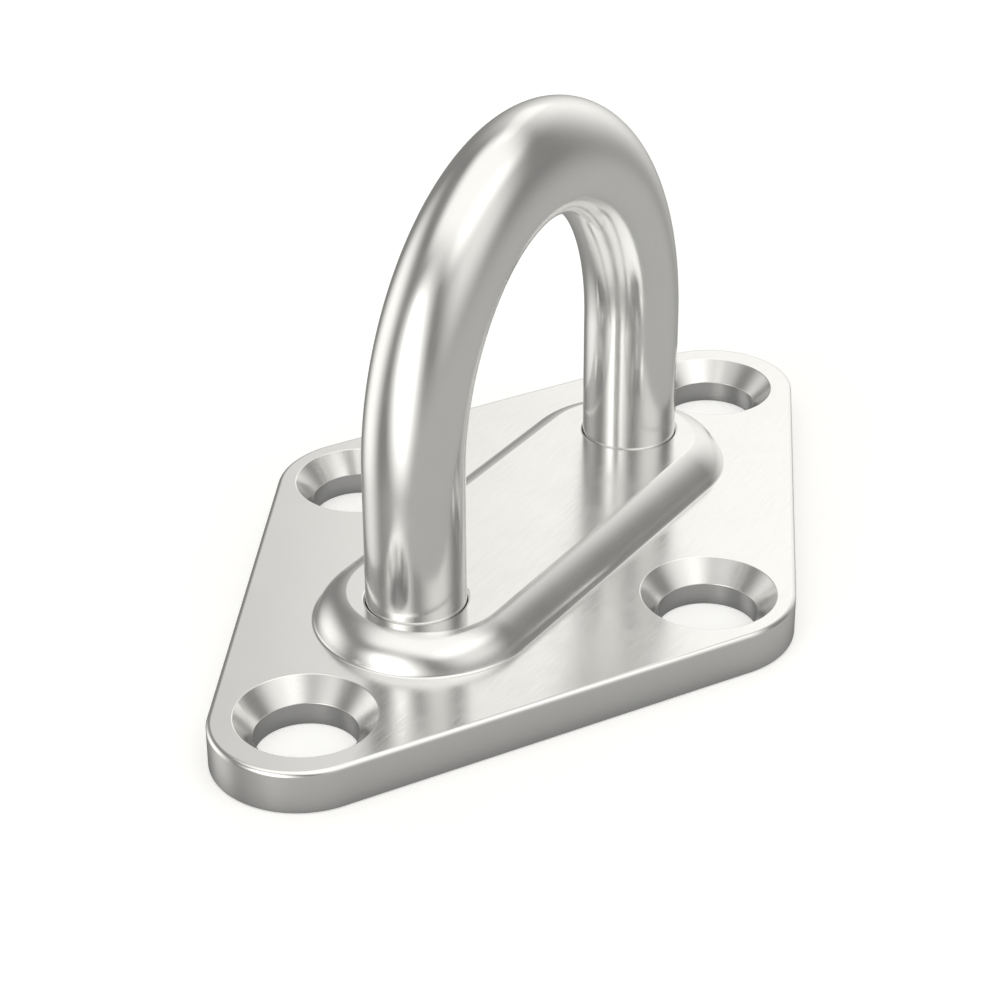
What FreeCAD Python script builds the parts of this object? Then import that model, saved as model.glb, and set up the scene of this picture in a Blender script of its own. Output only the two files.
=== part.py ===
"""Hammock hook: a diamond pad eye of pressed stainless plate with a welded round-bar bow.

Frame: millimetres, +Z up out of the plate, +X along the plate's long diagonal and the bow,
+Y along the short diagonal, origin at the middle of the underside.
"""
import FreeCAD, Part
import math
import os

import Sketcher

# Driving sizes, in millimetres and degrees
SIZES = {
    # Round bar of the bow, and how far its half ring is drawn up: rise over half width
    "bar_diameter": 8.0,
    "eye_width": 24.9,
    "leg_straight": 11.0,
    "bow_rise": 1.19,
    "leg_stub": 1.7,
    "leg_end_chamfer": 0.25,
    "leg_clearance": 0.1,
    # Pressed plate and its boss
    "plate_thickness": 3.6,
    "boss_height": 2.5,
    "boss_margin": 5.0,
    "boss_end_setback": 1.45,
    "boss_shoulder_radius": 3.2,
    "boss_facing": 0.05,
    "boss_foot_radius": 0.15,
    "hollow_inset": 1.7,
    "hollow_mouth_radius": 0.8,
    "hollow_roof_radius": 0.4,
    # Screw holes, with the flat left inside and outside each countersink
    "screw_hole_diameter": 8.0,
    "countersink_diameter": 11.0,
    "countersink_angle": 82.0,
    "end_hole_land": 1.65,
    "side_hole_land": 2.45,
    "end_rim_margin": 2.2,
    "side_rim_margin": 1.4,
    # Corners and edges of the outline
    "end_corner_radius": 7.1,
    "side_corner_radius": 7.9,
    "top_edge_radius": 0.4,
    "bottom_edge_radius": 0.2,
    "hole_edge_radius": 0.12,
    # Weld metal round each leg end
    "bead_size": 1.4,
}

# Sizes and places that follow from the driving ones
RELATIONS = {
    "bar_radius": "sizes.bar_diameter / 2",
    "leg_half": "(sizes.eye_width + sizes.bar_diameter) / 2",
    "leg_hole_radius": "worked.bar_radius + sizes.leg_clearance",
    "boss_half_width": "worked.bar_radius + sizes.boss_margin",
    "boss_centre": "worked.leg_half - sizes.boss_end_setback",
    "boss_half_length": "worked.boss_centre + worked.boss_half_width",
    "boss_top": "sizes.plate_thickness + sizes.boss_height",
    "boss_crown": "worked.boss_top + sizes.boss_facing",
    "hollow_half_width": "worked.boss_half_width - sizes.hollow_inset",
    "rim_radius": "sizes.countersink_diameter / 2",
    "end_hole": "worked.boss_half_length + sizes.boss_foot_radius + sizes.end_hole_land + worked.rim_radius",
    "side_hole": "worked.boss_half_width + sizes.boss_foot_radius + sizes.side_hole_land + worked.rim_radius",
    "half_length": "worked.end_hole + worked.rim_radius + sizes.end_rim_margin",
    "half_width": "worked.side_hole + worked.rim_radius + sizes.side_rim_margin",
    "end_corner_centre": "worked.half_length - sizes.end_corner_radius",
    "side_corner_centre": "worked.half_width - sizes.side_corner_radius",
    "leg_end": "sizes.boss_height - sizes.leg_stub",
    "bend_start": "worked.boss_top + sizes.leg_straight",
    "ring_leg_end": "worked.leg_end / sizes.bow_rise",
    "ring_centre": "worked.bend_start / sizes.bow_rise",
}

TOUCH = 1e-4
START, END, CENTRE = 1, 2, 3
ORIGIN = (-1, 1)
ALONG_AXIS, UP_AXIS = -1, -2
NORMAL = FreeCAD.Vector(0, 0, 1)

doc = FreeCAD.newDocument("pad_eye")


def make_sheet():
    """Put every driving size in the sheet, one row each, under its own name."""
    sheet = doc.addObject("Spreadsheet::Sheet", "sizes")
    for row, (name, value) in enumerate(SIZES.items(), start=1):
        sheet.set(f"A{row}", name)
        sheet.set(f"B{row}", str(value))
        sheet.setAlias(f"B{row}", name)
    doc.recompute()
    return sheet


def make_relations():
    """Hold the sizes that follow from others, each written once."""
    holder = doc.addObject("App::VarSet", "worked")
    for name, rule in RELATIONS.items():
        holder.addProperty("App::PropertyFloat", name, "Relations")
        holder.setExpression(name, rule)
    doc.recompute()
    return holder


def new_body(label):
    """Start a sub-part."""
    body = doc.addObject("PartDesign::Body", label)
    body.Label = label
    return body


def new_sketch(body, name, role="XY_Plane", lift=None):
    """Add a sketch on one of the body's own origin planes, lifted by a bound height if given."""
    sketch = body.newObject("Sketcher::SketchObject", name)
    plane = next(item for item in body.Origin.OriginFeatures if item.Role == role)
    sketch.AttachmentSupport = [(plane, "")]
    sketch.MapMode = "FlatFace"
    if lift:
        sketch.setExpression("AttachmentOffset.Base.z", lift)
    return sketch


def flat(x, y):
    """A point in a sketch."""
    return FreeCAD.Vector(x, y, 0)


def arc(x, y, radius, first, last):
    """A sketch arc about (x, y), anticlockwise from the first angle to the last, in radians."""
    return Part.ArcOfCircle(Part.Circle(flat(x, y), NORMAL, radius), first, last)


def bind(sketch, name, rule, *constraint):
    """Add a dimension and tie it to a size."""
    index = sketch.addConstraint(Sketcher.Constraint(*constraint))
    sketch.renameConstraint(index, name)
    sketch.setExpression(f"Constraints.{name}", rule)


def join_round(sketch, count):
    """Make each piece of a closed outline run smoothly into the next."""
    for index in range(count):
        following = (index + 1) % count
        sketch.addConstraint(Sketcher.Constraint("Tangent", index, END, following, START))


def mirror_pair(sketch, first, second, axis):
    """Keep two equal arcs opposite each other about the origin, on one axis."""
    sketch.addConstraint(Sketcher.Constraint("PointOnObject", first, CENTRE, axis))
    sketch.addConstraint(Sketcher.Constraint("Symmetric", first, CENTRE, second, CENTRE, *ORIGIN))
    sketch.addConstraint(Sketcher.Constraint("Equal", first, second))


def draw_rhombus(sketch, worked, sheet):
    """Draw the plate's outline: a rhombus with two sizes of round corner."""
    end_x, side_y = worked.end_corner_centre, worked.side_corner_centre
    end_r, side_r = sheet.end_corner_radius, sheet.side_corner_radius
    side = math.hypot(end_x, side_y)
    lean = math.atan2(end_x, side_y) + math.asin((end_r - side_r) / side)
    corners = [
        arc(end_x, 0, end_r, -lean, lean),
        arc(0, side_y, side_r, lean, math.pi - lean),
        arc(-end_x, 0, end_r, math.pi - lean, math.pi + lean),
        arc(0, -side_y, side_r, math.pi + lean, 2 * math.pi - lean),
    ]
    for corner, following in zip(corners, corners[1:] + corners[:1]):
        sketch.addGeometry(corner)
        sketch.addGeometry(Part.LineSegment(corner.EndPoint, following.StartPoint))
    join_round(sketch, 8)
    mirror_pair(sketch, 0, 4, ALONG_AXIS)
    mirror_pair(sketch, 2, 6, UP_AXIS)
    bind(sketch, "end_radius", "sizes.end_corner_radius", "Radius", 0, end_r)
    bind(sketch, "side_radius", "sizes.side_corner_radius", "Radius", 2, side_r)
    bind(sketch, "end_centre", "worked.end_corner_centre", "DistanceX", *ORIGIN, 0, CENTRE, end_x)
    bind(sketch, "side_centre", "worked.side_corner_centre", "DistanceY", *ORIGIN, 2, CENTRE, side_y)


def draw_stadium(sketch, worked, half_width):
    """Draw the boss's round-ended outline at a given half width."""
    centre, radius = worked.boss_centre, getattr(worked, half_width)
    right = arc(centre, 0, radius, -math.pi / 2, math.pi / 2)
    left = arc(-centre, 0, radius, math.pi / 2, 3 * math.pi / 2)
    for end, following in ((right, left), (left, right)):
        sketch.addGeometry(end)
        sketch.addGeometry(Part.LineSegment(end.EndPoint, following.StartPoint))
    join_round(sketch, 4)
    mirror_pair(sketch, 0, 2, ALONG_AXIS)
    bind(sketch, "end_radius", f"worked.{half_width}", "Radius", 0, radius)
    bind(sketch, "end_centre", "worked.boss_centre", "DistanceX", *ORIGIN, 0, CENTRE, centre)


def draw_hole_pair(sketch, first, place, place_rule, radius, radius_rule, axis):
    """Draw two equal circles opposite each other on one axis, the first of them numbered."""
    along = axis == ALONG_AXIS
    for sign in (1, -1):
        spot = flat(sign * place, 0) if along else flat(0, sign * place)
        sketch.addGeometry(Part.Circle(spot, NORMAL, radius))
    mirror_pair(sketch, first, first + 1, axis)
    direction = "DistanceX" if along else "DistanceY"
    bind(sketch, f"radius_{first}", radius_rule, "Radius", first, radius)
    bind(sketch, f"place_{first}", place_rule, direction, *ORIGIN, first, CENTRE, place)


def extrude(body, kind, name, sketch, length=None, reverse=False):
    """Pad or pocket a sketch by a bound length, or right through where none is given."""
    feature = body.newObject(kind, name)
    feature.Profile = sketch
    feature.Reversed = reverse
    if length:
        feature.setExpression("Length", length)
    else:
        feature.Type = "ThroughAll"
    doc.recompute()
    return feature


def cut(body, name, sketch, length=None):
    """Cut upward from the underside, and make sure that metal came away."""
    before = body.Shape.Volume
    extrude(body, "PartDesign::Pocket", name, sketch, length, reverse=True)
    if body.Shape.Volume > before - TOUCH:
        raise RuntimeError(f"{name} cut nothing")


def pick_edges(shape, wanted):
    """Name the edges whose bounding box passes the test."""
    return [f"Edge{number}" for number, edge in enumerate(shape.Edges, start=1) if wanted(edge.BoundBox)]


def round_edges(body, name, radius, wanted):
    """Round the edges whose bounding box passes the test."""
    base = body.Tip
    edges = pick_edges(base.Shape, wanted)
    if not edges:
        raise RuntimeError(f"{name} found no edges")
    fillet = body.newObject("PartDesign::Fillet", name)
    fillet.Base = (base, edges)
    fillet.setExpression("Radius", radius)
    doc.recompute()


def level(box, height):
    """Whether an edge lies flat at one height."""
    return abs(box.ZMin - height) < TOUCH and abs(box.ZMax - height) < TOUCH


def inside(box, half_x, half_y):
    """Whether an edge lies within a rectangle about the origin."""
    reach_x = max(box.XMax, -box.XMin)
    reach_y = max(box.YMax, -box.YMin)
    return reach_x < half_x + TOUCH and reach_y < half_y + TOUCH


def across(box, diameter):
    """Whether an edge is a full circle of one diameter, seen from above."""
    return abs(box.XLength - diameter) < TOUCH and abs(box.YLength - diameter) < TOUCH


def press_boss(body, worked):
    """Raise the boss: a wide rolled shoulder all round, and the top faced off flat, which leaves a crease."""
    outline = new_sketch(body, "boss_outline")
    draw_stadium(outline, worked, "boss_half_width")
    extrude(body, "PartDesign::Pad", "boss", outline, "worked.boss_crown")
    round_edges(body, "boss_shoulder", "sizes.boss_shoulder_radius", lambda box: level(box, worked.boss_crown))
    facing = new_sketch(body, "facing_outline", lift="worked.boss_top")
    draw_stadium(facing, worked, "boss_half_width")
    cut(body, "boss_facing", facing)


def press_hollow(body, worked, sheet):
    """Press the hollow under the boss to the boss's own height, with rounded roof and mouth."""
    hollow = new_sketch(body, "hollow_outline")
    draw_stadium(hollow, worked, "hollow_half_width")
    cut(body, "hollow", hollow, "sizes.boss_height")
    roof = sheet.boss_height
    round_edges(body, "hollow_roof", "sizes.hollow_roof_radius", lambda box: level(box, roof))
    round_edges(body, "hollow_mouth", "sizes.hollow_mouth_radius",
                lambda box: level(box, 0) and inside(box, worked.boss_half_length, worked.boss_half_width))


def drill_screw_holes(body, worked, sheet):
    """Drill and countersink the four screw holes, two on each diagonal."""
    spots = new_sketch(body, "screw_holes", lift="sizes.plate_thickness")
    radius, rule = sheet.screw_hole_diameter / 2, "sizes.screw_hole_diameter / 2"
    draw_hole_pair(spots, 0, worked.end_hole, "worked.end_hole", radius, rule, ALONG_AXIS)
    draw_hole_pair(spots, 2, worked.side_hole, "worked.side_hole", radius, rule, UP_AXIS)
    doc.recompute()
    hole = body.newObject("PartDesign::Hole", "countersinks")
    hole.Profile = spots
    hole.DepthType = "ThroughAll"
    hole.HoleCutType = "Countersink"
    hole.HoleCutCustomValues = True
    hole.setExpression("Diameter", "sizes.screw_hole_diameter")
    hole.setExpression("HoleCutDiameter", "sizes.countersink_diameter")
    hole.setExpression("HoleCutCountersinkAngle", "sizes.countersink_angle")
    doc.recompute()


def make_base_plate(worked, sheet):
    """The pressed plate: boss, outline, foot and hollow, leg holes, screw holes, then the broken edges."""
    body = new_body("base_plate")
    press_boss(body, worked)
    outline = new_sketch(body, "plate_outline")
    draw_rhombus(outline, worked, sheet)
    extrude(body, "PartDesign::Pad", "plate", outline, "sizes.plate_thickness")
    plate, top = sheet.plate_thickness, worked.boss_top
    reach = (worked.boss_half_length, worked.boss_half_width)
    round_edges(body, "plate_top_edge", "sizes.top_edge_radius",
                lambda box: level(box, plate) and not inside(box, *reach))
    round_edges(body, "plate_bottom_edge", "sizes.bottom_edge_radius", lambda box: level(box, 0))
    round_edges(body, "boss_foot", "sizes.boss_foot_radius",
                lambda box: level(box, plate) and inside(box, *reach))
    press_hollow(body, worked, sheet)
    leg_holes = new_sketch(body, "leg_holes")
    draw_hole_pair(leg_holes, 0, worked.leg_half, "worked.leg_half", worked.leg_hole_radius,
                   "worked.leg_hole_radius", ALONG_AXIS)
    cut(body, "leg_hole_cut", leg_holes)
    drill_screw_holes(body, worked, sheet)
    leg_hole, rim, bore = 2 * worked.leg_hole_radius, sheet.countersink_diameter, sheet.screw_hole_diameter
    round_edges(body, "leg_hole_edge", "sizes.hole_edge_radius",
                lambda box: level(box, top) and across(box, leg_hole))
    round_edges(body, "countersink_edge", "sizes.hole_edge_radius",
                lambda box: level(box, plate) and across(box, rim))
    round_edges(body, "bore_edge", "sizes.hole_edge_radius",
                lambda box: 0 < box.ZMin < plate and level(box, box.ZMin) and across(box, bore))
    return body


def draw_bow_path(sketch, worked):
    """Draw the bar's middle line before it is drawn up: leg, half ring in two quarters, leg."""
    half, centre, foot = worked.leg_half, worked.ring_centre, worked.ring_leg_end
    sketch.addGeometry(Part.LineSegment(flat(-half, foot), flat(-half, centre)))
    sketch.addGeometry(arc(0, centre, half, math.pi / 2, math.pi))
    sketch.addGeometry(arc(0, centre, half, 0, math.pi / 2))
    sketch.addGeometry(Part.LineSegment(flat(half, centre), flat(half, foot)))
    left_leg, left_bend, right_bend, right_leg = range(4)
    sketch.addConstraint(Sketcher.Constraint("Tangent", left_leg, END, left_bend, END))
    sketch.addConstraint(Sketcher.Constraint("Tangent", left_bend, START, right_bend, END))
    sketch.addConstraint(Sketcher.Constraint("Tangent", right_bend, START, right_leg, START))
    for leg in (left_leg, right_leg):
        sketch.addConstraint(Sketcher.Constraint("Vertical", leg))
    for point in (CENTRE, START):
        sketch.addConstraint(Sketcher.Constraint("PointOnObject", left_bend, point, UP_AXIS))
    sketch.addConstraint(Sketcher.Constraint("Equal", left_bend, right_bend))
    sketch.addConstraint(Sketcher.Constraint("Horizontal", left_leg, START, right_leg, END))
    bind(sketch, "ring_radius", "worked.leg_half", "Radius", left_bend, half)
    bind(sketch, "foot", "worked.ring_leg_end", "DistanceY", *ORIGIN, left_leg, START, foot)
    bind(sketch, "centre", "worked.ring_centre", "DistanceY", *ORIGIN, left_bend, CENTRE, centre)


def draw_bar_section(sketch, worked):
    """Draw the bar's round section about the left leg, in four quarters."""
    half, radius = worked.leg_half, worked.bar_radius
    for quarter in range(4):
        sketch.addGeometry(arc(-half, 0, radius, quarter * math.pi / 2, (quarter + 1) * math.pi / 2))
    for quarter in range(4):
        sketch.addConstraint(Sketcher.Constraint("Coincident", quarter, END, (quarter + 1) % 4, START))
    for quarter in (1, 2):
        sketch.addConstraint(Sketcher.Constraint("Coincident", quarter, CENTRE, 0, CENTRE))
    sketch.addConstraint(Sketcher.Constraint("Equal", 0, 3))
    for quarter in (0, 2):
        sketch.addConstraint(Sketcher.Constraint("PointOnObject", quarter, START, ALONG_AXIS))
        sketch.addConstraint(Sketcher.Constraint("Vertical", quarter, END, 0, CENTRE))
    sketch.addConstraint(Sketcher.Constraint("PointOnObject", 0, CENTRE, ALONG_AXIS))
    bind(sketch, "radius", "worked.bar_radius", "Radius", 0, radius)
    bind(sketch, "place", "worked.leg_half", "DistanceX", 0, CENTRE, *ORIGIN, half)


def make_eye_bow(worked):
    """The bow: a round bar in a half ring with straight legs, drawn up so that the crown is high and deep."""
    body = new_body("half_ring")
    path = new_sketch(body, "bow_path", role="XZ_Plane")
    draw_bow_path(path, worked)
    section = new_sketch(body, "bar_section", lift="worked.ring_leg_end")
    draw_bar_section(section, worked)
    doc.recompute()
    bar = body.newObject("PartDesign::AdditivePipe", "bent_bar")
    bar.Profile = section
    bar.Spine = (path, [])
    bar.Refine = False
    doc.recompute()
    chamfer = body.newObject("PartDesign::Chamfer", "leg_ends")
    chamfer.Base = (bar, pick_edges(bar.Shape, lambda box: level(box, worked.ring_leg_end)))
    chamfer.setExpression("Size", "sizes.leg_end_chamfer")
    chamfer.Refine = False
    doc.recompute()
    bow = doc.addObject("Part::Scale", "eye_bow")
    bow.Label = "eye_bow"
    bow.Base = body
    bow.Uniform = False
    bow.setExpression("ZScale", "sizes.bow_rise")
    doc.recompute()
    return bow


def make_weld_bead(label, side, worked, sheet):
    """A ring of weld metal in the corner between one leg and the hollow's roof."""
    body = new_body(label)
    section = new_sketch(body, f"{label}_section", role="XZ_Plane")
    inner, roof, size = worked.bar_radius, sheet.boss_height, sheet.bead_size
    section.addGeometry(Part.LineSegment(flat(inner, roof - size), flat(inner, roof)))
    section.addGeometry(Part.LineSegment(flat(inner, roof), flat(inner + size, roof)))
    section.addGeometry(arc(inner, roof, size, -math.pi / 2, 0))
    leg_side, roof_side, face = range(3)
    for joint in ((leg_side, END, roof_side, START), (roof_side, END, face, END),
                  (face, START, leg_side, START), (face, CENTRE, leg_side, END)):
        section.addConstraint(Sketcher.Constraint("Coincident", *joint))
    section.addConstraint(Sketcher.Constraint("Vertical", leg_side))
    section.addConstraint(Sketcher.Constraint("Horizontal", roof_side))
    bind(section, "size", "sizes.bead_size", "Radius", face, size)
    bind(section, "inner", "worked.bar_radius", "DistanceX", *ORIGIN, face, CENTRE, inner)
    bind(section, "roof", "sizes.boss_height", "DistanceY", *ORIGIN, face, CENTRE, roof)
    ring = body.newObject("PartDesign::Revolution", f"{label}_ring")
    ring.Profile = section
    ring.ReferenceAxis = (section, ["V_Axis"])
    ring.Angle = 360
    body.setExpression("Placement.Base.x", f"{side} * worked.leg_half")
    doc.recompute()
    return body


def check_document():
    """Stop if any object failed."""
    failed = [item.Name for item in doc.Objects if {"Invalid", "Error"} & set(item.State)]
    if failed:
        raise RuntimeError(f"failed objects: {failed}")


def write_parts(pieces):
    """Check every sub-part, then write each to a file named after it."""
    check_document()
    for piece in pieces:
        if piece.Shape.isNull() or not piece.Shape.isValid():
            raise RuntimeError(f"{piece.Label} has no valid shape")
    os.makedirs("parts", exist_ok=True)
    for piece in pieces:
        piece.Shape.exportStep(f"parts/{piece.Label}.step")


def main():
    """Build the plate, the bow and the two weld beads, and write them."""
    sheet = make_sheet()
    worked = make_relations()
    pieces = [make_base_plate(worked, sheet), make_eye_bow(worked)]
    for label, side in (("weld_bead_left", -1), ("weld_bead_right", 1)):
        pieces.append(make_weld_bead(label, side, worked, sheet))
    write_parts(pieces)


main()
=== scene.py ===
"""Looks of a diamond pad eye: the pressed plate, the bent bar and its welds, in a white studio."""
import math
from typing import NamedTuple

import bmesh
import bpy
from bpy.props import FloatProperty, FloatVectorProperty, IntProperty, PointerProperty
from mathutils import Euler, Matrix, Vector


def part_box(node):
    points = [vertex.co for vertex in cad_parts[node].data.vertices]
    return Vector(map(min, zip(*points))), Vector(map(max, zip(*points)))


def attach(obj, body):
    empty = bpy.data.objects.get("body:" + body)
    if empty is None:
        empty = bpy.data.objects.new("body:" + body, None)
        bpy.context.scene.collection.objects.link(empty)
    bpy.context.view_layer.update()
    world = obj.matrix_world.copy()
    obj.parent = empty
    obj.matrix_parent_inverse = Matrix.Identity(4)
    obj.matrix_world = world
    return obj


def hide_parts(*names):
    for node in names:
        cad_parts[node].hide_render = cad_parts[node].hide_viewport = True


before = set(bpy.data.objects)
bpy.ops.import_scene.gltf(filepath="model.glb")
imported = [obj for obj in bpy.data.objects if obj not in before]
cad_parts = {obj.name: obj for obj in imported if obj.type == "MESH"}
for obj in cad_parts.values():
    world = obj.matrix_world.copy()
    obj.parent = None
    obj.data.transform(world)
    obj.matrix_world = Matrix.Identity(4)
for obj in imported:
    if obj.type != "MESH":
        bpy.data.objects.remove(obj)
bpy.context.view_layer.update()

bl_info = {
    "name": "Diamond Pad Eye",
    "version": (1, 0, 0),
    "blender": (4, 5, 0),
    "location": "3D View > Sidebar > Pad Eye",
    "description": "Builds a pressed stainless pad eye with a welded bow, and a studio to show it in",
    "category": "Object",
}

MM = 0.001
BODY = "root"
PLATE_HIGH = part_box("base_plate")[1]
BOW_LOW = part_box("eye_bow")[0]
BEAD_LOW, BEAD_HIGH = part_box("weld_bead_right")
# Points round the plate's corners, the boss ends and each hole, and along the boss's foot and shoulder
END_STEPS, SIDE_STEPS, BOSS_STEPS, HOLE_STEPS = 56, 30, 72, 96
FOOT_STEPS, SHOULDER_STEPS = 10, 28
# A section's ends run on this far, so that only its corners are kept
FAR = 0.05


class SoftBox(NamedTuple):
    """A soft box of light: its direction in degrees, its half sizes at a distance of 1, and its strength."""
    towards: float
    raised: float
    roll: float
    half_width: float
    half_height: float
    soft_edge: float
    strength: float


FRONT_BOX = SoftBox(towards=180, raised=10, roll=-60,
                    half_width=0.55, half_height=0.35, soft_edge=0.45, strength=2)
FRONT_STRIP = SoftBox(towards=170, raised=30, roll=0,
                      half_width=0.25, half_height=0.1, soft_edge=0.1, strength=0.5)
LEFT_BOX = SoftBox(towards=100, raised=-5, roll=0,
                   half_width=0.4, half_height=0.55, soft_edge=0.35, strength=0.95)
BACK_BOX = SoftBox(towards=10, raised=20, roll=-25,
                   half_width=0.45, half_height=0.65, soft_edge=0.55, strength=0.85)
CEILING = SoftBox(towards=45, raised=95, roll=-135,
                  half_width=0.65, half_height=0.75, soft_edge=0.3, strength=0.9)
RIGHT_BOX = SoftBox(towards=-95, raised=35, roll=5,
                    half_width=0.45, half_height=0.45, soft_edge=0.35, strength=0.65)
BACK_SLIT = SoftBox(towards=25, raised=45, roll=5,
                    half_width=0.15, half_height=0.4, soft_edge=0.05, strength=0.25)
STUDIO = (FRONT_BOX, FRONT_STRIP, LEFT_BOX, BACK_BOX, CEILING, RIGHT_BOX, BACK_SLIT)


def length(label, about, metres):
    """A size that the user may change, in metres."""
    return FloatProperty(name=label, description=about, default=metres, min=0.0, precision=5, unit="LENGTH")


def tint(label, about, colour):
    """A colour that the user may change."""
    return FloatVectorProperty(name=label, description=about, default=colour, size=3, min=0.0, max=1.0,
                               subtype="COLOR")


def share(label, about, value):
    """A factor from 0 to 1."""
    return FloatProperty(name=label, description=about, default=value, min=0.0, max=1.0, subtype="FACTOR")


class PlateSizes(bpy.types.PropertyGroup):
    """Sizes of the pressed plate."""
    half_length: length("Half length", "Middle to the end of the long diagonal", PLATE_HIGH.x)
    half_width: length("Half width", "Middle to the end of the short diagonal", PLATE_HIGH.y)
    boss_top: length("Boss top", "Underside to the flat of the boss", PLATE_HIGH.z)
    thickness: length("Thickness", "Thickness of the sheet", 3.6 * MM)
    end_corner: length("End corner", "Corner radius on the long diagonal", 7.1 * MM)
    side_corner: length("Side corner", "Corner radius on the short diagonal", 7.9 * MM)
    top_edge: length("Top edge", "Rounding of the outline's top edge", 0.4 * MM)
    bottom_edge: length("Bottom edge", "Rounding of the outline's bottom edge", 0.2 * MM)
    boss_centre: length("Boss end centre", "Middle to the centre of a boss end", 15.0 * MM)
    boss_radius: length("Boss end radius", "Radius of the boss ends, its half width", 9.0 * MM)
    boss_foot: length("Boss foot", "Hollow rounding where the boss meets the plate", 0.3 * MM)
    boss_shoulder: length("Boss shoulder", "Rolled edge round the boss's flat", 3.2 * MM)
    boss_facing: length("Boss facing", "Depth faced off the boss, which leaves a crease", 0.05 * MM)
    hollow_radius: length("Hollow end radius", "Radius of the hollow's ends, its half width", 7.3 * MM)
    hollow_mouth: length("Hollow mouth", "Rounding of the hollow's mouth", 0.8 * MM)
    hollow_roof: length("Hollow roof", "Rounding in the corner of the hollow's roof", 0.4 * MM)
    leg_hole: length("Leg hole radius", "Radius of the hole round each leg", 4.03 * MM)
    leg_edge: length("Leg hole edge", "Rounded edge of each leg hole", 0.22 * MM)
    end_hole: length("End hole", "Middle to a screw hole on the long diagonal", 31.3 * MM)
    side_hole: length("Side hole", "Middle to a screw hole on the short diagonal", 17.1 * MM)
    bore_radius: length("Bore radius", "Radius of a screw hole", 4.0 * MM)
    sink_radius: length("Countersink radius", "Radius of a countersink's rim", 5.5 * MM)
    sink_angle: FloatProperty(name="Countersink angle", description="Full angle of a countersink",
                              default=math.radians(82.0), subtype="ANGLE")
    hole_edge: length("Hole edge", "Broken edge of each hole", 0.12 * MM)


class BowSizes(bpy.types.PropertyGroup):
    """Sizes of the bent bar."""
    bar_diameter: length("Bar diameter", "Diameter of the round bar", 8.0 * MM)
    leg_spacing: length("Leg spacing", "Middle to middle of the legs", 32.9 * MM)
    rise: FloatProperty(name="Rise", description="How far the half ring is drawn up: rise over half width",
                        default=1.19, min=0.1)
    bend_start: length("Bend start", "Height at which the legs start to bend", 17.1 * MM)
    leg_end: length("Leg end", "Height of the cut ends", BOW_LOW.z)
    end_chamfer: length("End chamfer", "Chamfer of the cut ends", 0.25 * MM)
    rings: IntProperty(name="Rings", description="Rings along the bar", default=401, min=21)
    sides: IntProperty(name="Sides", description="Points round the bar", default=112, min=12)


class WeldSizes(bpy.types.PropertyGroup):
    """Sizes of the weld round each leg end."""
    bead_size: length("Bead size", "Leg length of the fillet weld", BEAD_HIGH.z - BEAD_LOW.z)
    roof_height: length("Roof height", "Height of the roof that the weld sits against", BEAD_HIGH.z)
    ripples: IntProperty(name="Ripples", description="Ripples round one bead", default=34, min=3)
    ripple_depth: length("Ripple depth", "Depth of the ripples", 0.16 * MM)


class SteelFinish(bpy.types.PropertyGroup):
    """Colours and gloss of the metal."""
    steel: tint("Steel", "Colour of the polished stainless", (0.86, 0.857, 0.85))
    burnish_and_sheen: tint("Burnish", "Colour of edges that handling has polished", (0.93, 0.927, 0.92))
    # Burnish and sheen: brighter than the steel, for edges polished by handling and also a painted highlight
    # along them
    weld: tint("Weld", "Colour of the weld metal", (0.7, 0.685, 0.66))
    heat: tint("Heat tint", "Straw colour that the heat leaves on the weld", (0.6, 0.5, 0.35))
    plate_gloss: share("Plate roughness", "Roughness of the plate's polish", 0.21)
    bar_gloss: share("Bar roughness", "Roughness of the bar's polish", 0.17)
    weld_gloss: share("Weld roughness", "Roughness of the weld", 0.4)
    gloss_spread: share("Roughness spread", "How far the polish changes from place to place", 0.04)
    mark_depth: length("Mark depth", "Depth of the grain", 0.00012 * MM)


class StudioSetup(bpy.types.PropertyGroup):
    """The camera, floor and light."""
    camera_place: FloatVectorProperty(name="Camera place", description="Where the camera stands", size=3,
                                      default=(-0.165803, -0.10396, 0.11987), subtype="TRANSLATION")
    camera_turn: FloatVectorProperty(name="Camera turn", description="How the camera is turned", size=3,
                                     default=tuple(map(math.radians, (59.9927, 0.2068, -57.3507))),
                                     subtype="EULER")
    camera_lens: FloatProperty(name="Lens", description="Focal length on a 36 mm sensor", default=98.567)
    light_colour: tint("Light colour", "Slight warmth of the studio's light", (1.0, 0.9925, 0.96))
    floor_size: length("Floor size", "Side of the floor", 6.0)
    floor_gap: length("Floor gap", "Hair's breadth between the floor and the plate", 0.02 * MM)
    floor_colour: tint("Floor colour", "Colour of the floor", (0.9, 0.9, 0.9))
    floor_glow: share("Floor glow", "Light that the floor gives back to the camera", 0.3)
    shade_grey: share("Shade grey", "Grey of the shaded floor as the metal mirrors it", 0.13)
    dim_light: share("Dim light", "Brightness of the studio between the boxes of light", 0.25)
    low_fill: share("Low fill", "Brightness that is added from below, on the right", 0.22)
    fill_turn: FloatVectorProperty(name="Fill turn", description="Direction of the low fill: round and up",
                                   size=2, default=tuple(map(math.radians, (-100.0, -65.0))),
                                   subtype="EULER")


class NodeBench:
    """A node tree being wired, with short calls for the steps that repeat."""

    def __init__(self, tree):
        self.tree = tree

    def add(self, kind, inputs=None, **settings):
        """Add a node, set its options, and give each named input a value or a link."""
        node = self.tree.nodes.new(kind)
        for name, value in settings.items():
            setattr(node, name, value)
        for name, value in (inputs or {}).items():
            self.feed(node.inputs[name], value)
        return node

    def feed(self, socket, value):
        """Give a socket a link or a value."""
        if isinstance(value, bpy.types.NodeSocket):
            self.tree.links.new(value, socket)
        else:
            socket.default_value = value

    def sum(self, operation, *values, clamp=False):
        """Work out a number from one, two or three others."""
        node = self.tree.nodes.new("ShaderNodeMath")
        node.operation = operation
        node.use_clamp = clamp
        for socket, value in zip(node.inputs, values):
            self.feed(socket, value)
        return node.outputs[0]


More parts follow.
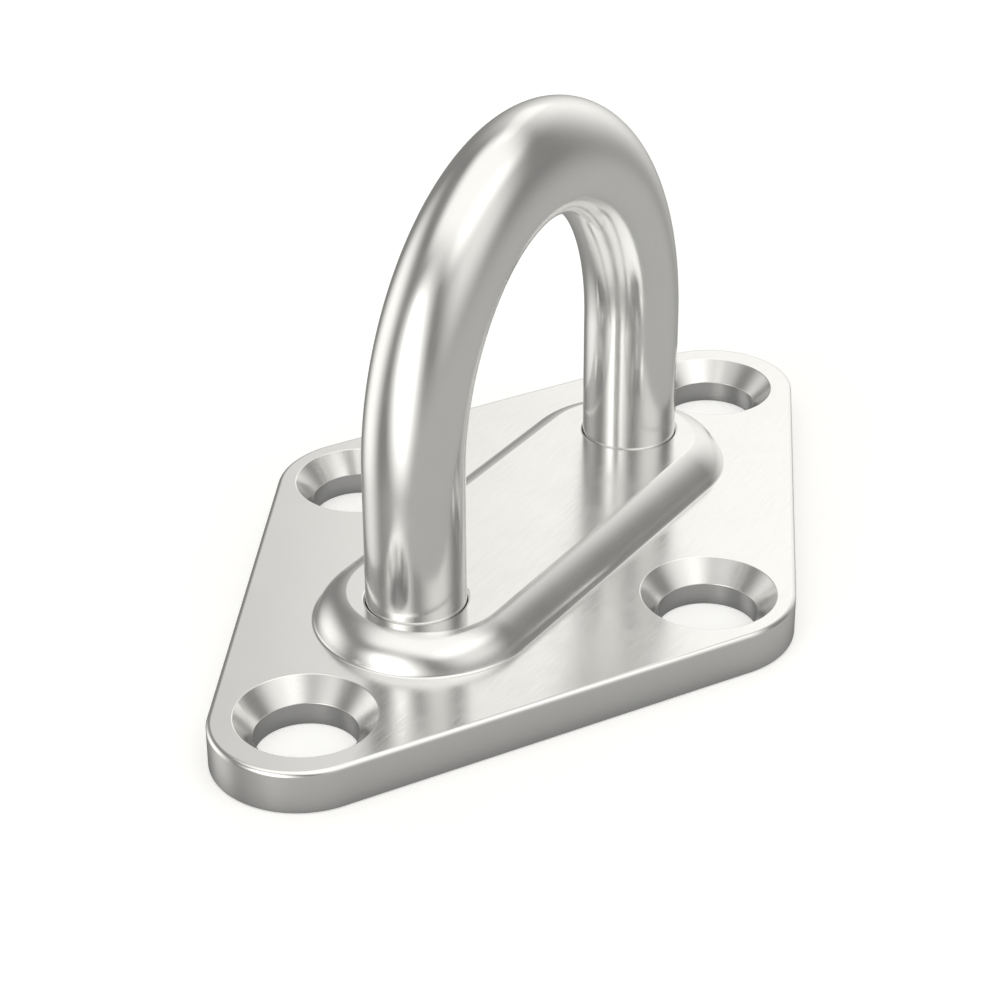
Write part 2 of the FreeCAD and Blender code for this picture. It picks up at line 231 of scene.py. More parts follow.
def socket_in(tree, name, kind, value=None):
    """Give a node group a named input."""
    socket = tree.interface.new_socket(name=name, in_out="INPUT", socket_type=kind)
    if value is not None:
        socket.default_value = value
    return socket


def new_shape_tree(name, inputs):
    """Start a geometry tree with named inputs and one geometry output."""
    tree = bpy.data.node_groups.new(name, "GeometryNodeTree")
    tree.is_modifier = True
    for label, kind in inputs:
        socket_in(tree, label, kind)
    tree.interface.new_socket(name="Geometry", in_out="OUTPUT", socket_type="NodeSocketGeometry")
    bench = NodeBench(tree)
    given = bench.add("NodeGroupInput").outputs
    return tree, bench, given


def finish_shape_tree(bench, geometry, material):
    """End a geometry tree: real geometry, smooth, with its material."""
    smooth = bench.add("GeometryNodeSetShadeSmooth", {"Geometry": geometry})
    real = bench.add("GeometryNodeRealizeInstances", {"Geometry": smooth.outputs[0]})
    finished = bench.add("GeometryNodeSetMaterial", {"Geometry": real.outputs[0], "Material": material})
    bench.add("NodeGroupOutput", {"Geometry": finished.outputs[0]})


def run_shape_tree(name, tree, values):
    """Run a geometry tree on an empty mesh and return the result as a plain mesh object."""
    maker = bpy.data.objects.new(f"{name}_maker", bpy.data.meshes.new(f"{name}_maker"))
    bpy.context.scene.collection.objects.link(maker)
    modifier = maker.modifiers.new(tree.name, "NODES")
    modifier.node_group = tree
    for item in tree.interface.items_tree:
        if item.in_out == "INPUT":
            modifier[item.identifier] = values[item.name]
    depsgraph = bpy.context.evaluated_depsgraph_get()
    mesh = bpy.data.meshes.new_from_object(maker.evaluated_get(depsgraph))
    mesh.name = name
    bpy.data.objects.remove(maker)
    mesh.set_sharp_from_angle(angle=math.radians(35))
    return add_piece(name, mesh)


def add_piece(name, mesh):
    """Put a finished mesh in the scene as a piece."""
    piece = bpy.data.objects.new(name, mesh)
    bpy.context.scene.collection.objects.link(piece)
    return piece


def seat(piece, node):
    """Let a piece ride on the part in place of a CAD node, which is hidden."""
    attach(piece, BODY)
    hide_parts(node)


def round_run(centre, radius, start, end, steps):
    """Points of an arc seen from above, each with its outward direction."""
    run = []
    for step in range(steps + 1):
        angle = start + (end - start) * step / steps
        out = Vector((math.cos(angle), math.sin(angle)))
        run.append((Vector(centre) + out * radius, out))
    return run


def diamond_outline(sizes):
    """The plate's outline: four round corners joined by straight sides."""
    end = sizes.half_length - sizes.end_corner
    side = sizes.half_width - sizes.side_corner
    reach = math.hypot(end, side)
    lean = math.atan2(side, -end) - math.acos((sizes.end_corner - sizes.side_corner) / reach)
    half_turn = math.pi
    outline = round_run((end, 0), sizes.end_corner, -lean, lean, END_STEPS)
    outline += round_run((0, side), sizes.side_corner, lean, half_turn - lean, SIDE_STEPS)
    outline += round_run((-end, 0), sizes.end_corner, half_turn - lean, half_turn + lean, END_STEPS)
    outline += round_run((0, -side), sizes.side_corner, half_turn + lean, 2 * half_turn - lean,
                         SIDE_STEPS)
    return outline


def stadium_outline(centre, radius):
    """A long round-ended outline, as of the boss and the hollow."""
    quarter = math.pi / 2
    right = round_run((centre, 0), radius, -quarter, quarter, BOSS_STEPS)
    left = round_run((-centre, 0), radius, quarter, 3 * quarter, BOSS_STEPS)
    return right + left


def hole_outline(x, y):
    """The axis of a round hole, with the directions round it."""
    last = HOLE_STEPS - 1
    return round_run((x, y), 0.0, 0.0, math.tau * last / HOLE_STEPS, last)


def rounded_section(points, radii):
    """A section of straight runs with rounded corners, as (offset, height, out, up, edge) rows.

    The metal is on the left of the run. Edge is 1 in the middle of an outside corner and 0 elsewhere.
    """
    rows = []
    for before, corner, after, radius in zip(points, points[1:], points[2:], radii):
        before, corner, after = Vector(before), Vector(corner), Vector(after)
        ahead, beyond = (corner - before).normalized(), (after - corner).normalized()
        turn = math.atan2(ahead.x * beyond.y - ahead.y * beyond.x, ahead.dot(beyond))
        side = math.copysign(1.0, turn)
        inward = Vector((-ahead.y, ahead.x)) * radius * side
        centre = corner - ahead * (radius * math.tan(abs(turn) / 2)) + inward
        steps = max(4, round(abs(turn) / math.radians(6)))
        for step in range(steps + 1):
            part = step / steps
            normal = Matrix.Rotation(turn * part, 2) @ Vector((ahead.y, -ahead.x))
            spot = centre + normal * radius * side
            rows.append((spot.x, spot.y, normal.x, normal.y, math.sin(math.pi * part) * (side > 0)))
    return rows


def boss_section(sizes):
    """Section of the boss, in rows like a rounded section's: small foot, wide shoulder, crisp crease."""
    shoulder, foot = sizes.boss_shoulder, sizes.boss_foot
    axis = Vector((-shoulder, sizes.boss_top + sizes.boss_facing - shoulder))
    foot_height = sizes.thickness + foot
    meet = math.acos((foot_height - axis.y) / (shoulder + foot))
    crease = math.acos((sizes.boss_top - axis.y) / shoulder)
    foot_axis = Vector((axis.x + (shoulder + foot) * math.sin(meet), foot_height))
    run = [(foot_axis, -foot, meet * step / FOOT_STEPS) for step in range(FOOT_STEPS)]
    for step in range(SHOULDER_STEPS + 1):
        run.append((axis, shoulder, meet + (crease - meet) * step / SHOULDER_STEPS))
    rows = []
    for centre, reach, slope in run:
        normal = Vector((math.sin(slope), math.cos(slope)))
        spot = centre + normal * reach
        rows.append((spot.x, spot.y, normal.x, normal.y, 0.0))
    crease_offset = rows[-1][0]
    rows.append((crease_offset - sizes.boss_facing, sizes.boss_top, 0.0, 1.0, 0.0))
    return rows


class Pressing:
    """A closed sheet-metal form: sections carried round outlines, with flats between them."""

    def __init__(self):
        self.bm = bmesh.new()
        self.normals = []
        self.edges = []

    def carry(self, outline, section):
        """Carry a section round an outline. Return the first and last ring's edges."""
        rings = []
        for offset, height, out, up, edge in section:
            ring = []
            for spot, away in outline:
                place = spot + away * offset
                ring.append(self.bm.verts.new((place.x, place.y, height)))
                self.normals.append((away.x * out, away.y * out, up))
                self.edges.append(edge)
            rings.append(ring)
        for low, high in zip(rings, rings[1:]):
            for here, there in zip(range(-1, len(low) - 1), range(len(low))):
                self.bm.faces.new((low[here], low[there], high[there], high[here]))
        return self.ring_edges(rings[0]), self.ring_edges(rings[-1])

    def ring_edges(self, ring):
        """The edges that close a ring of points."""
        return [self.bm.edges.get((ring[place - 1], ring[place])) for place in range(len(ring))]

    def flat(self, *rings):
        """Fill the flat that lies inside the first ring and outside the others."""
        edges = [edge for ring in rings for edge in ring]
        bmesh.ops.triangle_fill(self.bm, edges=edges, use_beauty=True, use_dissolve=False)

    def to_mesh(self, name):
        """Turn every face outwards and return the mesh, with its exact normals and its edge values."""
        bmesh.ops.recalc_face_normals(self.bm, faces=self.bm.faces)
        mesh = bpy.data.meshes.new(name)
        self.bm.to_mesh(mesh)
        self.bm.free()
        mesh.shade_smooth()
        mesh.normals_split_custom_set_from_vertices(self.normals)
        edge = mesh.attributes.new("edge", "FLOAT", "POINT")
        edge.data.foreach_set("value", self.edges)
        return mesh


def press_plate(sizes):
    """The plate's mesh: outline, boss, hollow, two leg holes and four countersunk screw holes."""
    top, thick = sizes.boss_top, sizes.thickness
    roof = top - thick
    form = Pressing()
    wall = rounded_section([(-FAR, 0), (0, 0), (0, thick), (-FAR, thick)],
                           [sizes.bottom_edge, sizes.top_edge])
    under, upper = form.carry(diamond_outline(sizes), wall)
    foot, crest = form.carry(stadium_outline(sizes.boss_centre, sizes.boss_radius), boss_section(sizes))
    hollow = rounded_section([(-FAR, roof), (0, roof), (0, 0), (FAR, 0)],
                             [sizes.hollow_roof, sizes.hollow_mouth])
    ceiling, mouth = form.carry(stadium_outline(sizes.boss_centre, sizes.hollow_radius), hollow)
    sink_floor = thick - (sizes.sink_radius - sizes.bore_radius) / math.tan(sizes.sink_angle / 2)
    bore, rim, edge = sizes.bore_radius, sizes.sink_radius, sizes.hole_edge
    screw = rounded_section([(FAR, thick), (rim, thick), (bore, sink_floor), (bore, 0), (FAR, 0)],
                            [edge, edge, edge / 2])
    places = [(sizes.end_hole, 0), (-sizes.end_hole, 0), (0, sizes.side_hole), (0, -sizes.side_hole)]
    rims, mouths = zip(*(form.carry(hole_outline(*place), screw) for place in places))
    leg = rounded_section([(FAR, top), (sizes.leg_hole, top), (sizes.leg_hole, roof), (FAR, roof)],
                          [sizes.leg_edge, edge / 2])
    half = bpy.context.scene.pad_eye_bow.leg_spacing / 2
    collars, ends = zip(*(form.carry(hole_outline(place, 0), leg) for place in (half, -half)))
    form.flat(upper, foot, *rims)
    form.flat(crest, *collars)
    form.flat(ceiling, *ends)
    form.flat(under, mouth, *mouths)
    return form.to_mesh("base_plate_pressed")


def bow_tree():
    """Geometry tree of the bow: a round bar carried along leg, half ring and leg, then drawn up."""
    number, whole = "NodeSocketFloat", "NodeSocketInt"
    tree, bench, given = new_shape_tree("drawn_bow", [
        ("Bar Diameter", number), ("Leg Spacing", number), ("Rise", number), ("Bend Start", number),
        ("Leg End", number), ("End Chamfer", number), ("Rings", whole), ("Sides", whole),
        ("Material", "NodeSocketMaterial")])
    total = bench.sum
    radius = total("DIVIDE", given["Bar Diameter"], 2.0)
    ring = total("DIVIDE", given["Leg Spacing"], 2.0)
    ring_run = total("MULTIPLY", ring, math.pi / 2)
    leg_run = total("DIVIDE", total("SUBTRACT", given["Bend Start"], given["Leg End"]), given["Rise"])
    half_run = total("ADD", ring_run, leg_run)
    left = bench.add("ShaderNodeCombineXYZ", {"X": total("MULTIPLY", half_run, -1.0)})
    right = bench.add("ShaderNodeCombineXYZ", {"X": half_run})
    line = bench.add("GeometryNodeCurvePrimitiveLine", {"Start": left.outputs[0], "End": right.outputs[0]})
    points = bench.add("GeometryNodeResampleCurve", {"Curve": line.outputs[0], "Count": given["Rings"]})
    straight = bench.add("GeometryNodeInputPosition").outputs[0]
    along = bench.add("ShaderNodeSeparateXYZ", {"Vector": straight}).outputs["X"]
    run = total("ABSOLUTE", along)
    # The chamfer is read from the straight line, so it is set before the line is bent
    left_over = total("DIVIDE", total("SUBTRACT", half_run, run), given["End Chamfer"], clamp=True)
    chamfer = total("DIVIDE", given["End Chamfer"], radius)
    cut_back = total("MULTIPLY", total("SUBTRACT", 1.0, left_over), chamfer)
    ends = bench.add("GeometryNodeSetCurveRadius", {"Curve": points.outputs[0],
                                                    "Radius": total("SUBTRACT", 1.0, cut_back)})
    turn = total("DIVIDE", total("MINIMUM", run, ring_run), ring)
    out = total("MULTIPLY", total("MULTIPLY", ring, total("SINE", turn)), total("SIGN", along))
    down_leg = total("MAXIMUM", total("SUBTRACT", run, ring_run), 0.0)
    up = total("SUBTRACT", total("MULTIPLY", ring, total("COSINE", turn)), down_leg)
    spot = bench.add("ShaderNodeCombineXYZ", {"X": out, "Z": up})
    path = bench.add("GeometryNodeSetPosition", {"Geometry": ends.outputs[0], "Position": spot.outputs[0]})
    section = bench.add("GeometryNodeCurvePrimitiveCircle", {
        "Resolution": given["Sides"], "Radius": radius})
    # The finish reads how far along the bar and where across its section a spot is
    run_on = bench.add("GeometryNodeSplineParameter").outputs["Length"]
    path = bench.add("GeometryNodeStoreNamedAttribute", {"Geometry": path.outputs[0], "Name": "along",
                                                         "Value": run_on}, data_type="FLOAT")
    here = bench.add("GeometryNodeInputPosition").outputs[0]
    section = bench.add("GeometryNodeStoreNamedAttribute", {
        "Geometry": section.outputs[0], "Name": "across", "Value": here}, data_type="FLOAT_VECTOR")
    bar = bench.add("GeometryNodeCurveToMesh", {
        "Curve": path.outputs[0], "Profile Curve": section.outputs[0], "Fill Caps": True})
    lift = bench.add("ShaderNodeCombineXYZ", {"Z": given["Bend Start"]})
    draw = bench.add("ShaderNodeCombineXYZ", {"X": 1.0, "Y": 1.0, "Z": given["Rise"]})
    drawn = bench.add("GeometryNodeTransform", {"Geometry": bar.outputs[0], "Translation": lift.outputs[0],
                                                "Scale": draw.outputs[0]})
    finish_shape_tree(bench, drawn.outputs[0], given["Material"])
    return tree


def weld_tree():
    """Geometry tree of one weld: a fillet bead carried round a leg, with the ripples of its making."""
    number, whole = "NodeSocketFloat", "NodeSocketInt"
    tree, bench, given = new_shape_tree("weld_bead", [
        ("Leg Place", number), ("Bar Diameter", number), ("Bead Size", number), ("Roof Height", number),
        ("Ripples", whole), ("Ripple Depth", number), ("Material", "NodeSocketMaterial")])
    total = bench.sum
    size = given["Bead Size"]
    radius = total("DIVIDE", given["Bar Diameter"], 2.0)
    round_leg = bench.add("GeometryNodeCurvePrimitiveCircle", {"Resolution": 408, "Radius": radius})
    fillet = bench.add("GeometryNodeCurveArc", {"Resolution": 18, "Radius": size, "Start Angle": 0.0,
                                                "Sweep Angle": math.pi / 2, "Connect Center": True})
    bead = bench.add("GeometryNodeCurveToMesh", {
        "Curve": round_leg.outputs[0], "Profile Curve": fillet.outputs[0]})
    smooth_spot = bench.add("GeometryNodeInputPosition").outputs[0]
    place = bench.add("ShaderNodeSeparateXYZ", {"Vector": smooth_spot}).outputs
    across, along, drop = place["X"], place["Y"], place["Z"]
    away = total("SQRT", total("ADD", total("MULTIPLY", across, across), total("MULTIPLY", along, along)))
    angle = total("ARCTAN2", along, across)
    reach = total("DIVIDE", total("SUBTRACT", away, radius), size)
    bow_back = total("MULTIPLY", total("POWER", total("SUBTRACT", reach, 0.5), 2.0), 2.4)
    turns = total("MULTIPLY", angle, total("DIVIDE", given["Ripples"], 2.0))
    wave = total("SINE", total("ADD", turns, bow_back))
    dip = total("MULTIPLY", total("SUBTRACT", 1.0, total("ABSOLUTE", wave)), given["Ripple Depth"])
    share_left = total("SUBTRACT", 1.0, total("DIVIDE", dip, size))
    kept = total("MULTIPLY", total("SUBTRACT", away, radius), share_left)
    slim = total("DIVIDE", total("ADD", radius, kept), away)
    spot = bench.add("ShaderNodeCombineXYZ", {
        "X": total("MULTIPLY", across, slim), "Y": total("MULTIPLY", along, slim),
        "Z": total("MULTIPLY", drop, share_left)})
    rippled = bench.add("GeometryNodeSetPosition", {
        "Geometry": bead.outputs[0], "Position": spot.outputs[0]})
    shift = bench.add("ShaderNodeCombineXYZ", {"X": given["Leg Place"], "Z": given["Roof Height"]})
    seated = bench.add("GeometryNodeTransform", {
        "Geometry": rippled.outputs[0], "Translation": shift.outputs[0]})
    finish_shape_tree(bench, seated.outputs[0], given["Material"])
    return tree


def new_material(name):
    """Start a material. Return it with its bench and its Principled shader."""
    material = bpy.data.materials.new(name)
    material.use_nodes = True
    bench = NodeBench(material.node_tree)
    return material, bench, material.node_tree.nodes["Principled BSDF"]


def polish_group():
    """Shader group of polish marks, placed in millimetres: clouds, grain along X and hairline scratches."""
    name = "polish_marks"
    if name in bpy.data.node_groups:
        return bpy.data.node_groups[name]
    tree = bpy.data.node_groups.new(name, "ShaderNodeTree")
    socket_in(tree, "Place", "NodeSocketVector")
    for mark in ("Clouds", "Grain", "Scratches"):
        tree.interface.new_socket(name=mark, in_out="OUTPUT", socket_type="NodeSocketFloat")
    bench = NodeBench(tree)
    place = bench.add("NodeGroupInput").outputs["Place"]
    clouds = bench.add("ShaderNodeTexNoise", {"Vector": place, "Scale": 0.22, "Detail": 2.0})
    drawn = bench.add("ShaderNodeMapping", {"Vector": place, "Scale": (0.08, 1.0, 1.0)})
    grain = bench.add("ShaderNodeTexNoise", {"Vector": drawn.outputs[0], "Scale": 7.0, "Detail": 1.0})
    lines = []
    for lean in (-21.0, 34.0):
        turned = bench.add("ShaderNodeMapping", {
            "Vector": place, "Rotation": (0.0, 0.0, math.radians(lean)), "Scale": (0.16, 2.0, 2.0)})
        cells = bench.add("ShaderNodeTexVoronoi", {"Vector": turned.outputs[0], "Scale": 0.6},
                          voronoi_dimensions="2D")
        line = bench.add("ShaderNodeMapRange", {
            "Value": cells.outputs["Distance"], "From Min": 0.07, "From Max": 0.02})
        lines.append(line.outputs[0])
    bench.add("NodeGroupOutput", {"Clouds": clouds.outputs[0], "Grain": grain.outputs[0],
                                  "Scratches": bench.sum("MAXIMUM", *lines)})
    return tree


def polish_marks(bench, spot):
    """The polish marks at a place given in metres."""
    place = bench.add("ShaderNodeMapping", {"Vector": spot, "Scale": (1 / MM, 1 / MM, 1 / MM)})
    return bench.add("ShaderNodeGroup", {"Place": place.outputs[0]}, node_tree=polish_group()).outputs


def blend(bench, share_of_second, first, second):
    """Mix two colours, each a colour or a link."""
    colours = [(*colour, 1.0) if not isinstance(colour, bpy.types.NodeSocket) else colour
               for colour in (first, second)]
    mix = bench.add("ShaderNodeMix", {0: share_of_second, 6: colours[0], 7: colours[1]}, data_type="RGBA")
    return mix.outputs[2]


def spread(bench, value, low, high):
    """Turn a noise value into a range."""
    return bench.add("ShaderNodeMapRange", {
        "Value": value, "From Min": 0.35, "From Max": 0.65, "To Min": low, "To Max": high}).outputs[0]


def bar_place(bench):
    """Place on the bar's skin: X along the bar, Y and Z across its section."""
    run = bench.add("ShaderNodeAttribute", attribute_name="along").outputs["Fac"]
    across = bench.add("ShaderNodeAttribute", attribute_name="across").outputs["Vector"]
    section = bench.add("ShaderNodeSeparateXYZ", {"Vector": across}).outputs
    return bench.add("ShaderNodeCombineXYZ", {"X": run, "Y": section["X"], "Z": section["Y"]}).outputs[0]


def steel_material(name, finish, roughness, on_bar=False):
    """Polished stainless: cloudy polish, grain along the sheet or the bar, scratches, and burnished edges
    that are partly painted highlight.
    """
    material, bench, shader = new_material(name)
    total = bench.sum
    spot = bar_place(bench) if on_bar else bench.add("ShaderNodeTexCoord").outputs["Object"]
    marks = polish_marks(bench, spot)
    edge = bench.add("ShaderNodeAttribute", attribute_name="edge").outputs["Fac"]
    dullest, burnish_and_sheen_share, edge_gain, scratch_gain = 0.985, 0.6, 0.06, 0.02
    dull = [dullest * part for part in finish.steel]
    cloudy = blend(bench, spread(bench, marks["Clouds"], 0.0, 1.0), dull, finish.steel)
    # Painted highlight: the rounded edges turn to the brighter burnish colour, partly real burnish and
    # partly painted sheen
    worn_and_sheen = total("MULTIPLY", edge, burnish_and_sheen_share)
    bench.feed(shader.inputs["Base Color"], blend(bench, worn_and_sheen, cloudy, finish.burnish_and_sheen))
    shader.inputs["Metallic"].default_value = 1.0
    polish = total("MULTIPLY", total("ADD", marks["Clouds"], marks["Grain"]), 0.5)
    satin = spread(bench, polish, roughness - finish.gloss_spread, roughness + finish.gloss_spread)
    scratched = total("ADD", satin, total("MULTIPLY", marks["Scratches"], scratch_gain))
    polished = total("MULTIPLY", edge, edge_gain)
    bench.feed(shader.inputs["Roughness"], total("SUBTRACT", scratched, polished))
    bump = bench.add("ShaderNodeBump", {"Height": marks["Grain"], "Distance": finish.mark_depth})
    bench.feed(shader.inputs["Normal"], bump.outputs[0])
    return material


def weld_material(finish):
    """Weld metal: a dull bead with patches of straw heat tint and a finely pitted skin."""
    material, bench, shader = new_material("weld_metal")
    spot = bench.add("ShaderNodeTexCoord").outputs["Object"]
    marks = polish_marks(bench, spot)
    bench.feed(shader.inputs["Base Color"], blend(bench, spread(bench, marks["Clouds"], 0.0, 0.7),
                                                  finish.weld, finish.heat))
    shader.inputs["Metallic"].default_value = 1.0
    skin = bench.add("ShaderNodeTexNoise", {"Vector": spot, "Scale": 2.5 / MM, "Detail": 3.0}).outputs[0]
    bench.feed(shader.inputs["Roughness"], spread(bench, skin, finish.weld_gloss - finish.gloss_spread,
                                                  finish.weld_gloss + finish.gloss_spread))
    pit_depth = 100 * finish.mark_depth
    pits = bench.add("ShaderNodeBump", {"Height": skin, "Distance": pit_depth})
    bench.feed(shader.inputs["Normal"], pits.outputs[0])
    return material


class PADEYE_OT_plate(bpy.types.Operator):
    """Press the plate with its boss, hollow and holes"""
    bl_idname = "pad_eye.plate"
    bl_label = "Press Plate"

    def execute(self, context):
        scene = context.scene
        mesh = press_plate(scene.pad_eye_plate)
        finish = scene.pad_eye_finish
        mesh.materials.append(steel_material("plate_steel", finish, finish.plate_gloss))
        seat(add_piece("base_plate_pressed", mesh), "base_plate")
        return {"FINISHED"}


class PADEYE_OT_bow(bpy.types.Operator):
    """Bend the bar into the bow"""
    bl_idname = "pad_eye.bow"
    bl_label = "Bend Bow"

    def execute(self, context):
        sizes, finish = context.scene.pad_eye_bow, context.scene.pad_eye_finish
        bow = run_shape_tree("eye_bow_bent", bow_tree(), {
            "Bar Diameter": sizes.bar_diameter, "Leg Spacing": sizes.leg_spacing, "Rise": sizes.rise,
            "Bend Start": sizes.bend_start, "Leg End": sizes.leg_end, "End Chamfer": sizes.end_chamfer,
            "Rings": sizes.rings, "Sides": sizes.sides,
            "Material": steel_material("bar_steel", finish, finish.bar_gloss, on_bar=True)})
        seat(bow, "eye_bow")
        return {"FINISHED"}


class PADEYE_OT_welds(bpy.types.Operator):
    """Lay the weld round each leg end"""
    bl_idname = "pad_eye.welds"
    bl_label = "Lay Welds"

    def execute(self, context):
        scene = context.scene
        sizes, bow = scene.pad_eye_weld, scene.pad_eye_bow
        material = weld_material(scene.pad_eye_finish)
        tree = weld_tree()
        for side, place in (("left", -bow.leg_spacing / 2), ("right", bow.leg_spacing / 2)):
            bead = run_shape_tree(f"weld_{side}_rippled", tree, {
                "Leg Place": place, "Bar Diameter": bow.bar_diameter, "Bead Size": sizes.bead_size,
                "Roof Height": sizes.roof_height, "Ripples": sizes.ripples,
                "Ripple Depth": sizes.ripple_depth, "Material": material})
            seat(bead, f"weld_bead_{side}")
        return {"FINISHED"}


def add_camera(setup):
    """Stand the camera where the photograph was taken from."""
    data = bpy.data.cameras.new("camera")
    data.lens = setup.camera_lens
    data.sensor_width = 36.0
    data.clip_start = 0.01
    camera = bpy.data.objects.new("camera", data)
    camera.location = setup.camera_place
    camera.rotation_euler = Euler(setup.camera_turn)
    bpy.context.scene.collection.objects.link(camera)
    bpy.context.scene.camera = camera


def add_floor(setup):
    """Lay a floor that takes the object's shadow and is open to a camera below it."""
    half, low = setup.floor_size / 2, -setup.floor_gap
    corners = [(-half, -half, low), (half, -half, low), (half, half, low), (-half, half, low)]
    mesh = bpy.data.meshes.new("floor")
    mesh.from_pydata(corners, [], [(0, 1, 2, 3)])
    floor = bpy.data.objects.new("floor", mesh)
    bpy.context.scene.collection.objects.link(floor)
    material, bench, shader = new_material("floor_paper")
    shader.inputs["Base Color"].default_value = (*setup.floor_colour, 1.0)
    shader.inputs["Roughness"].default_value = 1.0
    shader.inputs["Specular IOR Level"].default_value = 0.0
    shader.inputs["Emission Color"].default_value = (1.0, 1.0, 1.0, 1.0)
    shader.inputs["Emission Strength"].default_value = setup.floor_glow
    # Metal sees the floor only where the object shades it, and the studio elsewhere
    open_share = bench.add("ShaderNodeAmbientOcclusion", {"Distance": 0.02}, samples=4).outputs["AO"]
    lit = bench.add("ShaderNodeMapRange", {"Value": open_share, "From Min": 0.3, "From Max": 1.0},
                    interpolation_type="SMOOTHSTEP").outputs[0]
    path = bench.add("ShaderNodeLightPath").outputs
    in_metal = path["Is Glossy Ray"]
    from_below = bench.sum("GREATER_THAN", path["Transparent Depth"], 0.5)
    below = bench.sum("MAXIMUM", bench.add("ShaderNodeNewGeometry").outputs["Backfacing"], from_below)
    open_to = bench.sum("MAXIMUM", bench.sum("MULTIPLY", in_metal, lit), below)
    clear = bench.add("ShaderNodeBsdfTransparent").outputs[0]
    grey = setup.shade_grey
    shade = bench.add("ShaderNodeEmission", {"Color": (grey, grey, grey, 1.0)}).outputs[0]
    faced = bench.add("ShaderNodeMixShader", {0: in_metal, 1: shader.outputs[0], 2: shade}).outputs[0]
    side = bench.add("ShaderNodeMixShader", {0: open_to, 1: faced, 2: clear})
    bench.feed(material.node_tree.nodes["Material Output"].inputs["Surface"], side.outputs[0])
    mesh.materials.append(material)
    floor.visible_shadow = False


def soft_box_group():
    """Shader group of one soft box of light: a flat panel with soft edges, seen in a direction."""
    tree = bpy.data.node_groups.new("soft_box", "ShaderNodeTree")
    for name in ("Direction", "Turn"):
        socket_in(tree, name, "NodeSocketVector")
    for name in ("Half Width", "Half Height", "Soft Edge", "Strength"):
        socket_in(tree, name, "NodeSocketFloat")
    tree.interface.new_socket(name="Light", in_out="OUTPUT", socket_type="NodeSocketFloat")
    bench = NodeBench(tree)
    given = bench.add("NodeGroupInput").outputs
    total = bench.sum
    local = bench.add("ShaderNodeVectorRotate", {"Vector": given["Direction"], "Rotation": given["Turn"]},
                      rotation_type="EULER_XYZ", invert=True)
    axes = bench.add("ShaderNodeSeparateXYZ", {"Vector": local.outputs[0]}).outputs
    depth = total("MAXIMUM", axes["X"], 0.02)
    soft = given["Soft Edge"]
    shown = total("GREATER_THAN", axes["X"], 0.02)
    for axis, half in (("Y", given["Half Width"]), ("Z", given["Half Height"])):
        off = total("DIVIDE", total("ABSOLUTE", axes[axis]), depth)
        inside = bench.add("ShaderNodeMapRange", {
            "Value": off, "From Min": total("ADD", half, soft), "From Max": total("SUBTRACT", half, soft)},
            interpolation_type="SMOOTHSTEP")
        shown = total("MULTIPLY", shown, inside.outputs[0])
    bench.add("NodeGroupOutput", {"Light": total("MULTIPLY", shown, given["Strength"])})
    return tree


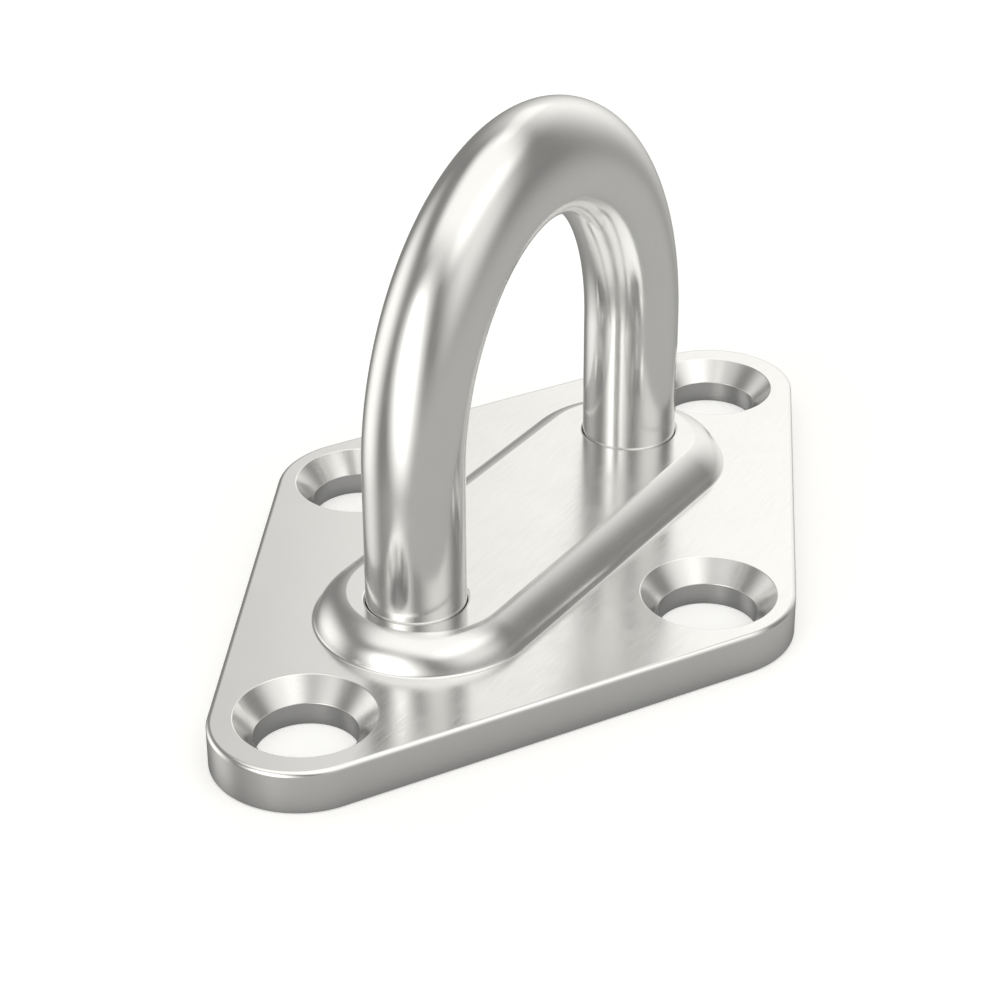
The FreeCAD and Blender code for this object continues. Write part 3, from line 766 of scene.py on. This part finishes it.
def add_world(setup):
    """Grey studio with a low fill and soft boxes of light round the object, white to the camera."""
    world = bpy.data.worlds.new("studio")
    bpy.context.scene.world = world
    world.use_nodes = True
    bench = NodeBench(world.node_tree)
    total = bench.sum
    direction = bench.add("ShaderNodeTexCoord").outputs["Generated"]
    fill_way = Euler((0.0, -setup.fill_turn[1], setup.fill_turn[0])).to_matrix() @ Vector((1.0, 0.0, 0.0))
    facing = bench.add("ShaderNodeVectorMath", {0: direction, 1: fill_way},
                       operation="DOT_PRODUCT").outputs["Value"]
    base = bench.add("ShaderNodeMapRange", {
        "Value": facing, "From Min": 0.1, "From Max": 0.6, "To Min": setup.dim_light,
        "To Max": setup.dim_light + setup.low_fill}, interpolation_type="SMOOTHSTEP")
    light = base.outputs[0]
    group = soft_box_group()
    for light_box in STUDIO:
        turn = tuple(map(math.radians, (light_box.roll, -light_box.raised, light_box.towards)))
        box = bench.add("ShaderNodeGroup", node_tree=group)
        for name, value in (("Direction", direction), ("Turn", turn), ("Half Width", light_box.half_width),
                            ("Half Height", light_box.half_height), ("Soft Edge", light_box.soft_edge),
                            ("Strength", light_box.strength)):
            bench.feed(box.inputs[name], value)
        light = total("ADD", light, box.outputs[0])
    camera = bench.add("ShaderNodeLightPath").outputs["Is Camera Ray"]
    seen = bench.add("ShaderNodeMix", {0: camera, 2: light, 3: 1.0}, data_type="FLOAT")
    sky = world.node_tree.nodes["Background"]
    bench.feed(sky.inputs["Color"], blend(bench, camera, setup.light_colour, (1.0, 1.0, 1.0)))
    bench.feed(sky.inputs["Strength"], seen.outputs[0])


class PADEYE_OT_stage(bpy.types.Operator):
    """Set up the floor, the light and the camera"""
    bl_idname = "pad_eye.stage"
    bl_label = "Set Stage"

    def execute(self, context):
        setup = context.scene.pad_eye_studio
        context.scene.view_settings.view_transform = "Standard"
        add_floor(setup)
        add_world(setup)
        add_camera(setup)
        return {"FINISHED"}


class PADEYE_PT_panel(bpy.types.Panel):
    """The pad eye's steps"""
    bl_idname = "PADEYE_PT_panel"
    bl_label = "Pad Eye"
    bl_space_type = "VIEW_3D"
    bl_region_type = "UI"
    bl_category = "Pad Eye"

    def draw(self, context):
        for step in STEPS:
            self.layout.operator(step.bl_idname)


SETTINGS = {
    "pad_eye_plate": PlateSizes,
    "pad_eye_bow": BowSizes,
    "pad_eye_weld": WeldSizes,
    "pad_eye_finish": SteelFinish,
    "pad_eye_studio": StudioSetup,
}
STEPS = (PADEYE_OT_plate, PADEYE_OT_bow, PADEYE_OT_welds, PADEYE_OT_stage)


def register():
    for name, group in SETTINGS.items():
        bpy.utils.register_class(group)
        setattr(bpy.types.Scene, name, PointerProperty(type=group))
    for step in (*STEPS, PADEYE_PT_panel):
        bpy.utils.register_class(step)


def unregister():
    for step in (*STEPS, PADEYE_PT_panel):
        bpy.utils.unregister_class(step)
    for name, group in SETTINGS.items():
        delattr(bpy.types.Scene, name)
        bpy.utils.unregister_class(group)


def main():
    """Build every piece and the stage."""
    register()
    bpy.ops.pad_eye.plate()
    bpy.ops.pad_eye.bow()
    bpy.ops.pad_eye.welds()
    bpy.ops.pad_eye.stage()


if __name__ == "__main__":
    main()
